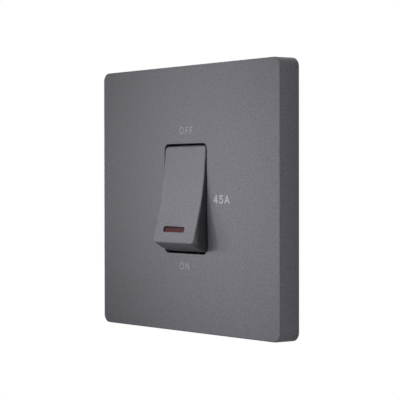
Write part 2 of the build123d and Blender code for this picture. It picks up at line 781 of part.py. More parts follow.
# Terminal screws: slotted clamping screws, backed off to leave the bores open
with BuildPart() as terminal_screws:
    screw_tip_y = bore_y + terminal_bore / 2 + screw_tip_gap
    with BuildSketch(at_depth(cover_rear_y)):
        with GridLocations(terminal_spacing, 2 * terminal_middle, 2, 2):
            Circle(terminal_screw_size / 2)
    extrude(amount=cover_rear_y - screw_tip_y)
    with BuildSketch(at_depth(cover_rear_y)):
        with GridLocations(terminal_spacing, 2 * terminal_middle, 2, 2):
            Rectangle(terminal_screw_size, screw_slot)
    extrude(amount=screw_slot_depth, mode=Mode.SUBTRACT)
save(terminal_screws, "terminal_screws")

# Earth terminal: a smaller block in the body's side pocket
with BuildPart() as earth_terminal:
    with BuildSketch(at_depth(terminal_rear_y)):
        with Locations((pocket_x, -earth_place)):
            Rectangle(earth_width, earth_length)
    extrude(amount=earth_depth)
    chamfer(earth_terminal.edges().filter_by(Axis.Z), terminal_edge)
    with BuildSketch(Plane.XY.offset(-earth_place)):
        with Locations((pocket_x, earth_bore_y)):
            Circle(earth_bore / 2)
    extrude(amount=earth_length / 2, both=True, mode=Mode.SUBTRACT)
    with BuildSketch(at_depth(terminal_rear_y)):
        with Locations((pocket_x, -earth_place)):
            Circle(earth_screw_size / 2 + screw_play)
    extrude(amount=terminal_rear + earth_bore / 2, mode=Mode.SUBTRACT)
save(earth_terminal, "earth_terminal")

# Earth screw, backed off like the others
with BuildPart() as earth_screw:
    with BuildSketch(at_depth(cover_rear_y)):
        with Locations((pocket_x, -earth_place)):
            Circle(earth_screw_size / 2)
    extrude(amount=cover_rear_y - earth_bore_y - earth_bore / 2 - screw_tip_gap)
    with BuildSketch(at_depth(cover_rear_y)):
        with Locations((pocket_x, -earth_place)):
            Rectangle(earth_screw_size, screw_slot)
    extrude(amount=screw_slot_depth, mode=Mode.SUBTRACT)
save(earth_screw, "earth_screw")

# Lamp holder: a tray on two legs, pegged to the back of the body's front wall
with BuildPart() as lamp_holder:
    tray_width = 2 * peg_x + leg_width
    with BuildSketch(at_depth(tray_y + tray_floor)):
        with Locations((0, -lamp_drop)):
            Rectangle(tray_width, 2 * tray_half_height)
    extrude(amount=tray_floor)
    with BuildSketch(at_depth(tray_y)):
        with Locations((0, -lamp_drop)):
            with GridLocations(2 * peg_x, 0, 2, 1):
                Rectangle(leg_width, 2 * tray_half_height)
    extrude(amount=tray_y - body_wall)
    with BuildSketch(at_depth(tray_y)):
        with Locations((0, -lamp_drop)):
            with GridLocations(cradle_spread, 0, 2, 1):
                Rectangle(cradle_thickness, 2 * (lamp_radius + lamp_play) + cradle_thickness)
    extrude(amount=tray_y - lamp_y)
    with BuildSketch(Plane.YZ.offset(-lamp_length / 2)):
        with Locations((lamp_y, -lamp_drop)):
            Circle(lamp_radius + lamp_play)
    extrude(amount=lamp_length, mode=Mode.SUBTRACT)
    with BuildSketch(at_depth(body_wall + peg_length + lamp_play)):
        with Locations((0, -lamp_drop)):
            with GridLocations(2 * peg_x, 0, 2, 1):
                Circle(peg_radius + screw_play)
    extrude(amount=peg_length + lamp_play, mode=Mode.SUBTRACT)
    with BuildSketch(at_depth(tray_y + tray_floor)):
        with Locations((lead_x, -lamp_drop)):
            Circle(lead_hole_radius)
        with Locations((-lead_x, -lamp_drop)):
            Circle(resistor_radius + resistor_play)
    extrude(amount=tray_floor, mode=Mode.SUBTRACT)
save(lamp_holder, "lamp_holder")

# Neon lamp: a glass capsule lying across the window
with BuildPart() as neon_lamp:
    with BuildSketch(Plane.YZ.offset(-lamp_length / 2)):
        with Locations((lamp_y, -lamp_drop)):
            Circle(lamp_radius)
    extrude(amount=lamp_length)
    fillet(neon_lamp.edges().filter_by(GeomType.CIRCLE), lamp_radius / 2)
save(neon_lamp, "neon_lamp")

# Lamp resistor: stands through the holder's tray, between the lamp and its load strip
with BuildPart() as lamp_resistor:
    with BuildSketch(at_depth(resistor_y + resistor_length)):
        with Locations((-lead_x, -lamp_drop)):
            Circle(resistor_radius)
    extrude(amount=resistor_length)
save(lamp_resistor, "lamp_resistor")

# Lamp leads: bare wires from the lamp, one through its resistor, back to the two load strips
with BuildPart() as lamp_leads:
    for lead_side, lead_end_y in ((1, strip_y), (-1, resistor_y)):
        with BuildLine() as route:
            FilletPolyline(
                (lead_side * lamp_length / 2, lamp_y, -lamp_drop),
                (lead_side * lead_x, lamp_y, -lamp_drop),
                (lead_side * lead_x, lead_end_y, -lamp_drop),
                radius=lead_bend,
            )
        with BuildSketch(Plane(origin=route.line @ 0, z_dir=route.line % 0)):
            Circle(lead_radius)
        sweep()
    with BuildSketch(at_depth(strip_y)):
        with Locations((-lead_x, -lamp_drop)):
            Circle(lead_radius)
    extrude(amount=strip_y - resistor_y - resistor_length)
save(lamp_leads, "lamp_leads")
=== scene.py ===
"""Looks of a double pole wall switch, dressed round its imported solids.

The solids give every place and size. This script adds the finishes, the printed marks, round-wire
springs and threaded screws, and sets up a plain studio with the camera of the photograph.
Lengths are metres unless a name says mm. X is right, Y goes into the wall and Z is up.
"""
import json
import logging
import math
from abc import ABC, abstractmethod
from dataclasses import dataclass, field
from enum import Enum
from typing import Union

import bmesh
import bpy
import numpy as np
from bpy.types import Material, Node, NodeOutputs, NodeSocket, NodeTree, Object, World
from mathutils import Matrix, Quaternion, Vector


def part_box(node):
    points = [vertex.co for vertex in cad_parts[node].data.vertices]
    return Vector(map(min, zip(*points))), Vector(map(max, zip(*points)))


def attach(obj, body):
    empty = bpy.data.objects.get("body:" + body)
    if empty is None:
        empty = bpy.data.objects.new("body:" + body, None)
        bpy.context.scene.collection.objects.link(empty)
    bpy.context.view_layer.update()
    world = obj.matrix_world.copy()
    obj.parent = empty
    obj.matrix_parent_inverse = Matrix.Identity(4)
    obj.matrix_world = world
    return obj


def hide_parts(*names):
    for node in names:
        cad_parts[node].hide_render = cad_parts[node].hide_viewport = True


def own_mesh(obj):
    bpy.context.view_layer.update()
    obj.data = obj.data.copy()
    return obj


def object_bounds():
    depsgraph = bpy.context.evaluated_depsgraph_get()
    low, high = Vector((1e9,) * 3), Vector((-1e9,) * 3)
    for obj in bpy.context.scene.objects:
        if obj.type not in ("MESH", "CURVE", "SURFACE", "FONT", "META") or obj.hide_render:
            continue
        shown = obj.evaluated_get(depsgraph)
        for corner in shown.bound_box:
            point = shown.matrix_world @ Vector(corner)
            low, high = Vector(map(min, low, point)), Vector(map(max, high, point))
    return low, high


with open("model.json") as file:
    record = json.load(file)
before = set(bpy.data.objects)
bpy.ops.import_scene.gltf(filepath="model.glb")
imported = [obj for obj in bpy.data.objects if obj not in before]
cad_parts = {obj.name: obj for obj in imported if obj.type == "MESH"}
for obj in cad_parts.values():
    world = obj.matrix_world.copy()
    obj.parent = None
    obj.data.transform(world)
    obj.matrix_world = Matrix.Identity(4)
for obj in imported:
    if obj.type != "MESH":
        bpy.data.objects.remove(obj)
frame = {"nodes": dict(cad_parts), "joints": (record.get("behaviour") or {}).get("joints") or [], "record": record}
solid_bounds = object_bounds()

log = logging.getLogger("switch")

MM = 0.001
WHITE = (1.0, 1.0, 1.0)
NOISE_MIDDLE = 0.5
DRAWN_SQUEEZE = 0.06
WELD_DISTANCE = 1e-6
FLAT_FACE_WEIGHT = 100
Colour = tuple[float, float, float]
Feed = Union[NodeSocket, float, tuple]
Stroke = tuple[np.ndarray, bool]


class Graph:
    """A node tree with short calls to add nodes and join their sockets."""

    def __init__(self, tree: NodeTree) -> None:
        """Keep the tree that nodes are added to."""
        self.tree = tree

    def feed(self, socket: NodeSocket, value: Feed) -> None:
        """Link another node's socket to this one, or set its plain value.

        Args:
            socket: The input to fill.
            value: An output socket, or a number or colour for the input itself.
        """
        if isinstance(value, NodeSocket):
            self.tree.links.new(value, socket)
        elif isinstance(value, tuple) and len(value) == 3 and socket.type == "RGBA":
            socket.default_value = (*value, 1.0)
        else:
            socket.default_value = value

    def set(self, node: Node, **inputs: Feed) -> None:
        """Fill a node's inputs by name, with underscores for spaces."""
        for name, value in inputs.items():
            self.feed(node.inputs[name.replace("_", " ")], value)

    def fill(self, node: Node, *values: Feed) -> Node:
        """Fill a node's inputs in order.

        Args:
            node: The node.
            *values: Values or sockets for its first inputs.

        Returns:
            The same node.
        """
        for socket, value in zip(node.inputs, values):
            self.feed(socket, value)
        return node

    def add(self, kind: str, settings: Union[dict, None] = None, **inputs: Feed) -> Node:
        """Add one node.

        Args:
            kind: Blender's name for the node type.
            settings: Properties of the node itself.
            **inputs: Values or sockets by input name, with underscores for spaces.

        Returns:
            The new node.
        """
        node = self.tree.nodes.new(kind)
        for name, value in (settings or {}).items():
            setattr(node, name, value)
        self.set(node, **inputs)
        return node

    def math(self, operation: str, *values: Feed) -> NodeSocket:
        """Add a Math node with its operands in order, and return its result."""
        return self.fill(self.add("ShaderNodeMath", {"operation": operation}), *values).outputs[0]

    def vector_math(self, operation: str, *values: Feed) -> Node:
        """Add a Vector Math node with its operands in order."""
        return self.fill(self.add("ShaderNodeVectorMath", {"operation": operation}), *values)

    def scale(self, vector: Feed, factor: Feed) -> NodeSocket:
        """Multiply a vector or colour by one number."""
        node = self.add("ShaderNodeVectorMath", {"operation": "SCALE"}, Scale=factor)
        return self.fill(node, vector).outputs[0]

    def noise(self, vector: Feed, size: Feed, **inputs: float) -> NodeSocket:
        """Add a noise whose features have about the given size."""
        scale = self.math("DIVIDE", 1.0, size)
        return self.add("ShaderNodeTexNoise", Vector=vector, Scale=scale, **inputs).outputs[0]

    def swing(self, noise: NodeSocket, contrast: Feed) -> NodeSocket:
        """A noise's offset from its middle, times a contrast."""
        return self.math("MULTIPLY", self.math("SUBTRACT", noise, NOISE_MIDDLE), contrast)

    def smooth_step(self, value: Feed, start: float, end: float) -> NodeSocket:
        """A value's smooth rise from 0 at the start to 1 at the end."""
        return self.add("ShaderNodeMapRange", {"interpolation_type": "SMOOTHSTEP"}, Value=value,
                        From_Min=start, From_Max=end).outputs[0]

    def mix(self, factor: Feed, first: Feed, second: Feed) -> NodeSocket:
        """Blend two colours.

        Args:
            factor: 0 gives the first colour and 1 the second.
            first: Colour or socket.
            second: Colour or socket.

        Returns:
            The blended colour's socket.
        """
        node = self.add("ShaderNodeMix", {"data_type": "RGBA"})
        by_id = {socket.identifier: socket for socket in node.inputs}
        self.feed(by_id["Factor_Float"], factor)
        self.feed(by_id["A_Color"], first)
        self.feed(by_id["B_Color"], second)
        return next(socket for socket in node.outputs if socket.identifier == "Result_Color")

    def blend(self, factor: Feed, first: Node, second: Node) -> Node:
        """Mix two shaders, where a factor of 0 gives the first and 1 the second."""
        node = self.add("ShaderNodeMixShader")
        return self.fill(node, factor, first.outputs[0], second.outputs[0])


def cleared(owner: Union[Material, World]) -> NodeTree:
    """Switch on the nodes of a material or world and clear them.

    Args:
        owner: The material or world.

    Returns:
        Its empty node tree.
    """
    owner.use_nodes = True
    owner.node_tree.nodes.clear()
    return owner.node_tree


class StreakAxis(Enum):
    """Direction that a metal was drawn, rolled or turned along, as the squeeze of its grain."""

    ALONG_X = (DRAWN_SQUEEZE, 1.0, 1.0)
    ALONG_Y = (1.0, DRAWN_SQUEEZE, 1.0)
    ALONG_Z = (1.0, 1.0, DRAWN_SQUEEZE)


@dataclass
class SharedEffects:
    """Node groups that several finishes use: moulded grain, softened edges and drawn streaks."""

    grain_turn: tuple[float, float, float] = (0.6, 0.35, 0.5)
    speckle_detail: float = 3.0
    speckle_roughness: float = 0.6
    blotch_detail: float = 2.0
    edge_samples: int = 6
    edge_mask_gain: float = 4.0
    streak_detail: float = 4.0
    streak_roughness: float = 0.7
    tarnish_detail: float = 3.0
    tarnish_scale: float = 420.0
    tarnish_power: float = 2.0
    least_roughness: float = 0.75
    roughness_range: float = 0.5
    grain: NodeTree = field(init=False)
    edges: NodeTree = field(init=False)
    streaks: NodeTree = field(init=False)

    def __post_init__(self) -> None:
        """Build each group once."""
        self.grain = self.moulded_grain()
        self.edges = self.soft_edges()
        self.streaks = self.drawn_streaks()

    @staticmethod
    def begin(name: str, inputs: dict[str, str],
              outputs: dict[str, str]) -> tuple[Graph, NodeOutputs, Node]:
        """Start a node group with named sockets.

        Args:
            name: The group's name.
            inputs: Socket type for each input name.
            outputs: Socket type for each output name.

        Returns:
            The group's graph, the sockets that it is given and its output node.
        """
        tree = bpy.data.node_groups.new(name, "ShaderNodeTree")
        for in_out, sockets in (("INPUT", inputs), ("OUTPUT", outputs)):
            for socket, kind in sockets.items():
                tree.interface.new_socket(name=socket, in_out=in_out, socket_type=f"NodeSocket{kind}")
        graph = Graph(tree)
        return graph, graph.add("NodeGroupInput").outputs, graph.add("NodeGroupOutput")

    def moulded_grain(self) -> NodeTree:
        """Fine speckle over slow blotches.

        The colour is multiplied by 1 + contrast times each noise's offset from its middle.

        Returns:
            A group that puts out the varied colour and the speckle as a height.
        """
        graph, given, out = self.begin(
            "moulded_grain",
            {"Vector": "Vector", "Color": "Color", "Grain": "Float", "Contrast": "Float",
             "Blotch": "Float", "Blotch Contrast": "Float"},
            {"Color": "Color", "Height": "Float"},
        )
        turned = graph.add("ShaderNodeVectorRotate", {"rotation_type": "EULER_XYZ"},
                           Vector=given["Vector"], Rotation=self.grain_turn).outputs[0]
        fine = graph.noise(turned, given["Grain"], Detail=self.speckle_detail,
                           Roughness=self.speckle_roughness)
        slow = graph.noise(turned, given["Blotch"], Detail=self.blotch_detail)
        fine_part = graph.swing(fine, given["Contrast"])
        slow_part = graph.swing(slow, given["Blotch Contrast"])
        tone = graph.math("ADD", 1.0, graph.math("ADD", fine_part, slow_part))
        graph.set(out, Color=graph.scale(given["Color"], tone), Height=fine)
        return graph.tree

    def soft_edges(self) -> NodeTree:
        """Normals rounded near edges, and a mask of how far they turn from the face there.

        Returns:
            A group that puts out the rounded normal and the edge mask.
        """
        graph, given, out = self.begin("soft_edges", {"Radius": "Float"},
                                       {"Normal": "Vector", "Mask": "Float"})
        rounded = graph.add("ShaderNodeBevel", {"samples": self.edge_samples},
                            Radius=given["Radius"]).outputs["Normal"]
        plain = graph.add("ShaderNodeNewGeometry").outputs["Normal"]
        facing = graph.vector_math("DOT_PRODUCT", rounded, plain).outputs["Value"]
        turned = graph.math("MULTIPLY", graph.math("SUBTRACT", 1.0, facing), self.edge_mask_gain)
        graph.set(out, Normal=rounded, Mask=graph.math("MINIMUM", turned, 1.0))
        return graph.tree

    def drawn_streaks(self) -> NodeTree:
        """Long fine scratches: noise on coordinates that are squeezed along the drawing direction.

        Returns:
            A group that puts out the varied colour, a roughness factor and a height.
        """
        graph, given, out = self.begin(
            "drawn_streaks",
            {"Vector": "Vector", "Color": "Color", "Stretch": "Vector", "Streak": "Float",
             "Contrast": "Float", "Tarnish": "Color", "Tarnish Amount": "Float"},
            {"Color": "Color", "Roughness Factor": "Float", "Height": "Float"},
        )
        along = graph.vector_math("MULTIPLY", given["Vector"], given["Stretch"]).outputs[0]
        fine = graph.noise(along, given["Streak"], Detail=self.streak_detail,
                           Roughness=self.streak_roughness)
        slow = graph.add("ShaderNodeTexNoise", Vector=given["Vector"], Scale=self.tarnish_scale,
                         Detail=self.tarnish_detail).outputs[0]
        tone = graph.math("ADD", 1.0, graph.swing(fine, given["Contrast"]))
        bright = graph.scale(given["Color"], tone)
        patches = graph.math("MULTIPLY", graph.math("POWER", slow, self.tarnish_power),
                             given["Tarnish Amount"])
        spread = graph.math("MULTIPLY", fine, self.roughness_range)
        graph.set(out, Color=graph.mix(patches, bright, given["Tarnish"]), Height=fine,
                  Roughness_Factor=graph.math("ADD", self.least_roughness, spread))
        return graph.tree


@dataclass(frozen=True)
class Grain:
    """Sizes and contrasts of a moulded grain's fine speckle and slow blotches."""

    speckle_mm: float = 0.55
    contrast: float = 0.5
    blotch_mm: float = 9.0
    blotch_contrast: float = 0.12


class Paint(Graph):
    """Graph of a new material, with a Principled shader and the effects that finishes share."""

    def __init__(self, name: str, effects: SharedEffects) -> None:
        """Start the material.

        Args:
            name: The material's name.
            effects: The shared node groups.
        """
        self.material = bpy.data.materials.new(name)
        super().__init__(cleared(self.material))
        self.effects = effects
        self.shader = self.add("ShaderNodeBsdfPrincipled")
        self.add("ShaderNodeOutputMaterial", Surface=self.shader.outputs[0])
        self.place = self.add("ShaderNodeTexCoord").outputs["Object"]

    def coat(self, **inputs: Feed) -> None:
        """Fill the shader's inputs by name, with underscores for spaces."""
        self.set(self.shader, **inputs)

    def effect(self, group: NodeTree, **inputs: Feed) -> NodeOutputs:
        """Place a shared node group in the material and return its outputs."""
        return self.add("ShaderNodeGroup", {"node_tree": group}, **inputs).outputs

    def grain(self, colour: Colour, sizes: Grain) -> NodeOutputs:
        """Vary a colour by a moulded grain, and return the outputs of the grain's node."""
        return self.effect(self.effects.grain, Vector=self.place, Color=colour,
                           Grain=sizes.speckle_mm * MM, Contrast=sizes.contrast,
                           Blotch=sizes.blotch_mm * MM, Blotch_Contrast=sizes.blotch_contrast)

    def relief(self, height: Feed, depth_mm: float, edges: NodeOutputs) -> NodeSocket:
        """Normal of a relief, from 0 to its depth, over softened edges."""
        return self.add("ShaderNodeBump", Strength=1.0, Distance=depth_mm * MM, Height=height,
                        Normal=edges["Normal"]).outputs["Normal"]


@dataclass(frozen=True)
class Finish(ABC):
    """A finish that makes its own material, named for its slot in the record."""

    slot: str
    colour: Colour
    roughness: float

    @abstractmethod
    def lay(self, paint: Paint) -> None:
        """Add the finish's own nodes to a new material."""

    def material(self, effects: SharedEffects) -> Material:
        """Make the material.

        Args:
            effects: The shared node groups.

        Returns:
            The finished material.
        """
        paint = Paint(self.slot, effects)
        self.lay(paint)
        return paint.material


@dataclass(frozen=True)
class Moulding(Finish):
    """A moulded plastic: fine grain in colour and surface, with a painted highlight that lightens its edges."""

    grain: Grain = Grain()
    roughness_swing: float = 0.2
    relief_mm: float = 0.004
    edge_mm: float = 0.12
    edge_highlight_gain: float = 0.35
    specular: float = 0.5

    def lay(self, paint: Paint) -> None:
        """Add the grain, its relief, the softened edges and their painted highlight.

        Args:
            paint: The material's graph.
        """
        grain = paint.grain(self.colour, self.grain)
        edges = paint.effect(paint.effects.edges, Radius=self.edge_mm * MM)
        # Painted highlight: the colour is lightened where the rounded normals turn away, along edges.
        painted_highlight = paint.math("ADD", 1.0, paint.math("MULTIPLY", edges["Mask"], self.edge_highlight_gain))
        wander = paint.swing(grain["Height"], self.roughness_swing)
        paint.coat(Base_Color=paint.scale(grain["Color"], painted_highlight), Specular_IOR_Level=self.specular,
                   Roughness=paint.math("ADD", self.roughness, wander),
                   Normal=paint.relief(grain["Height"], self.relief_mm, edges))


@dataclass(frozen=True)
class Metal(Finish):
    """A bare or plated metal with fine drawn streaks and a little tarnish."""

    axis: StreakAxis = StreakAxis.ALONG_X
    streak_mm: float = 0.12
    contrast: float = 0.35
    tarnish: Colour = (0.1, 0.08, 0.06)
    tarnish_amount: float = 0.25
    relief_mm: float = 0.002
    edge_mm: float = 0.1

    def lay(self, paint: Paint) -> None:
        """Add the streaks, their relief and the softened edges.

        Args:
            paint: The material's graph.
        """
        streaks = paint.effect(paint.effects.streaks, Vector=paint.place, Color=self.colour,
                               Stretch=self.axis.value, Streak=self.streak_mm * MM,
                               Contrast=self.contrast, Tarnish=self.tarnish,
                               Tarnish_Amount=self.tarnish_amount)
        edges = paint.effect(paint.effects.edges, Radius=self.edge_mm * MM)
        paint.coat(Base_Color=streaks["Color"], Metallic=1.0,
                   Roughness=paint.math("MULTIPLY", streaks["Roughness Factor"], self.roughness),
                   Normal=paint.relief(streaks["Height"], self.relief_mm, edges))


@dataclass(frozen=True)
class ClearPart(Finish):
    """Clear or tinted moulding or glass, with a faint haze in its tint."""

    transmission: float = 1.0
    haze: Grain = Grain(speckle_mm=1.5, contrast=0.05, blotch_mm=1.5, blotch_contrast=0.05)
    specular: float = 0.5

    def lay(self, paint: Paint) -> None:
        """Add the haze and let light through.

        Args:
            paint: The material's graph.
        """
        paint.coat(Base_Color=paint.grain(self.colour, self.haze)["Color"], Roughness=self.roughness,
                   Specular_IOR_Level=self.specular, Transmission_Weight=self.transmission)


@dataclass(frozen=True)
class TintedWindow(Finish):
    """The indicator's lens: a hazy tint, with a painted shade line under the upper edge of its recess."""

    node: str
    painted_shade_colour: Colour
    specular: float
    face_slope: float = math.radians(16.0)
    flange_mm: float = 0.88
    shade_line_mm: float = 0.28
    fade_mm: float = 0.3
    haze: Grain = Grain(speckle_mm=1.5, contrast=0.3, blotch_mm=1.5, blotch_contrast=0.3)

    def reach(self, axis: tuple[float, float, float]) -> float:
        """Furthest that the lens reaches along an axis.

        Args:
            axis: Unit vector.

        Returns:
            The greatest product of a corner's place and the axis, in metres.
        """
        mesh = frame["nodes"][self.node].data
        places = np.empty(len(mesh.vertices) * 3)
        mesh.vertices.foreach_get("co", places)
        return float((places.reshape(-1, 3) @ np.array(axis)).max())

    def lay(self, paint: Paint) -> None:
        """Add the haze and the painted shade line.

        The height of a point up the lens is its place times the sloping face's own upward
        direction. The painted shade line is one smooth step up that height less a second one above it.

        Args:
            paint: The material's graph.
        """
        upward = (0.0, math.sin(self.face_slope), math.cos(self.face_slope))
        lower = self.reach(upward) - (self.flange_mm + self.shade_line_mm) * MM
        upper = lower + (self.shade_line_mm + self.fade_mm) * MM
        height = paint.vector_math("DOT_PRODUCT", paint.place, upward).outputs["Value"]
        shade_steps = [paint.smooth_step(height, end - self.fade_mm * MM, end) for end in (lower, upper)]
        tint = paint.grain(self.colour, self.haze)["Color"]
        # Painted shade: the dark colour is mixed into the tint between the two steps.
        paint.coat(Base_Color=paint.mix(paint.math("SUBTRACT", *shade_steps), tint, self.painted_shade_colour),
                   Roughness=self.roughness, Specular_IOR_Level=self.specular)


@dataclass(frozen=True)
class BandedLacquer(Finish):
    """A resistor's lacquer with coloured rings along the wall's direction."""

    bands: tuple[Colour, ...]
    start: float
    length: float
    band_share: float = 0.09
    first_share: float = 0.16
    pitch_share: float = 0.17
    grain: Grain = Grain(speckle_mm=0.2, contrast=0.4, blotch_mm=2.0, blotch_contrast=0.3)

    def lay(self, paint: Paint) -> None:
        """Add the grain and the rings.

        Args:
            paint: The material's graph.
        """
        colour = paint.grain(self.colour, self.grain)["Color"]
        depth = paint.add("ShaderNodeSeparateXYZ", Vector=paint.place).outputs["Y"]
        share = paint.math("DIVIDE", paint.math("SUBTRACT", depth, self.start), self.length)
        for index, band in enumerate(self.bands):
            middle = self.first_share + index * self.pitch_share
            inside = paint.math("COMPARE", share, middle, self.band_share / 2)
            colour = paint.mix(inside, colour, band)
        paint.coat(Base_Color=colour, Roughness=self.roughness)


@dataclass(frozen=True)
class Shape:
    """Points of one or more closed skins, with their four-sided faces and their end faces."""

    points: np.ndarray
    quads: np.ndarray
    ends: list[np.ndarray]

    def faces(self) -> list[list[int]]:
        """Point numbers of every face."""
        return self.quads.tolist() + [end.tolist() for end in self.ends]


def walls(here: np.ndarray, ahead: np.ndarray) -> np.ndarray:
    """Four-sided faces between rows of points and the rows ahead of them.

    Face (i, j) joins corners j and j + 1 of row i to the same corners of the row ahead.

    Args:
        here: Numbers of the near points, as (rows, corners).
        ahead: Numbers of the far points, as (rows, corners).

    Returns:
        Faces as (n, 4).
    """
    corners = [here, np.roll(here, -1, axis=1), np.roll(ahead, -1, axis=1), ahead]
    return np.stack(corners, axis=-1).reshape(-1, 4)


def skin(sections: np.ndarray, closed: bool) -> Shape:
    """Join a row of closed sections into one solid skin, with flat ends if the row is open.

    Args:
        sections: Points of every section, as (sections, corners, 3).
        closed: Whether the last section joins the first.

    Returns:
        The skin.
    """
    count, corners = sections.shape[:2]
    number = np.arange(count * corners).reshape(count, corners)
    points = sections.reshape(-1, 3)
    if closed:
        return Shape(points, walls(number, np.roll(number, -1, axis=0)), [])
    return Shape(points, walls(number[:-1], number[1:]), [number[0][::-1], number[-1]])


def join(parts: list[Shape]) -> Shape:
    """Put several shapes into one.

    Args:
        parts: The shapes.

    Returns:
        All their points, and their faces with the numbers moved on.
    """
    starts = np.cumsum([0] + [len(part.points) for part in parts[:-1]])
    return Shape(
        np.concatenate([part.points for part in parts]),
        np.concatenate([part.quads + start for part, start in zip(parts, starts)]),
        [end + start for part, start in zip(parts, starts) for end in part.ends],
    )


def make_piece(name: str, shape: Shape, body: str, slot: str, material: Material,
               smooth: bool) -> Object:
    """Put a shape into the scene as a piece that rides on a body.

    Args:
        name: The piece's name.
        shape: Its points and faces.
        body: The body that it moves with.
        slot: The record's slot for its finish; not used.
        material: The finish itself.
        smooth: Whether its faces are shaded smooth.

    Returns:
        The new object.
    """
    mesh = bpy.data.meshes.new(name)
    mesh.from_pydata(shape.points.tolist(), [], shape.faces())
    shell = bmesh.new()
    shell.from_mesh(mesh)
    bmesh.ops.recalc_face_normals(shell, faces=shell.faces)
    shell.to_mesh(mesh)
    shell.free()
    mesh.polygons.foreach_set("use_smooth", np.full(len(mesh.polygons), smooth))
    mesh.materials.append(material)
    piece = bpy.data.objects.new(name, mesh)
    bpy.context.scene.collection.objects.link(piece)
    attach(piece, body)
    log.info("%s: %d faces, rides on %s", name, len(mesh.polygons), body)
    return piece


def round_edges(piece: Object, angle: float) -> None:
    """Shade a piece's curved faces smooth and keep its corners sharp.

    Args:
        piece: The object to finish with modifiers.
        angle: Turn between faces, in radians, from which an edge stays sharp.
    """
    weld = piece.modifiers.new("weld", "WELD")
    weld.merge_threshold = WELD_DISTANCE
    split = piece.modifiers.new("sharp", "EDGE_SPLIT")
    split.split_angle = angle
    split.use_edge_sharp = False
    normals = piece.modifiers.new("flat_faces", "WEIGHTED_NORMAL")
    normals.weight = FLAT_FACE_WEIGHT
    normals.keep_sharp = False


@dataclass
class SolidDressing:
    """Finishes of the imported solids."""

    finishes: list[Finish]
    sharp_angle: float = math.radians(28)
    materials: dict[str, Material] = field(default_factory=dict)

    def make(self, effects: SharedEffects) -> None:
        """Make one material for each finish, by its slot."""
        self.materials = {finish.slot: finish.material(effects) for finish in self.finishes}

    def dress(self) -> None:
        """Give each solid the material that the record names for it, and clean shading."""
        for row in frame["record"]["subparts"]:
            solid = frame["nodes"][row["node"]]
            solid.data.materials.clear()
            solid.data.materials.append(self.materials[row["material_slot"]])
            solid.data.polygons.foreach_set("use_smooth", np.ones(len(solid.data.polygons), bool))
            round_edges(solid, self.sharp_angle)
            log.info("%s: %s", row["node"], row["material_slot"])


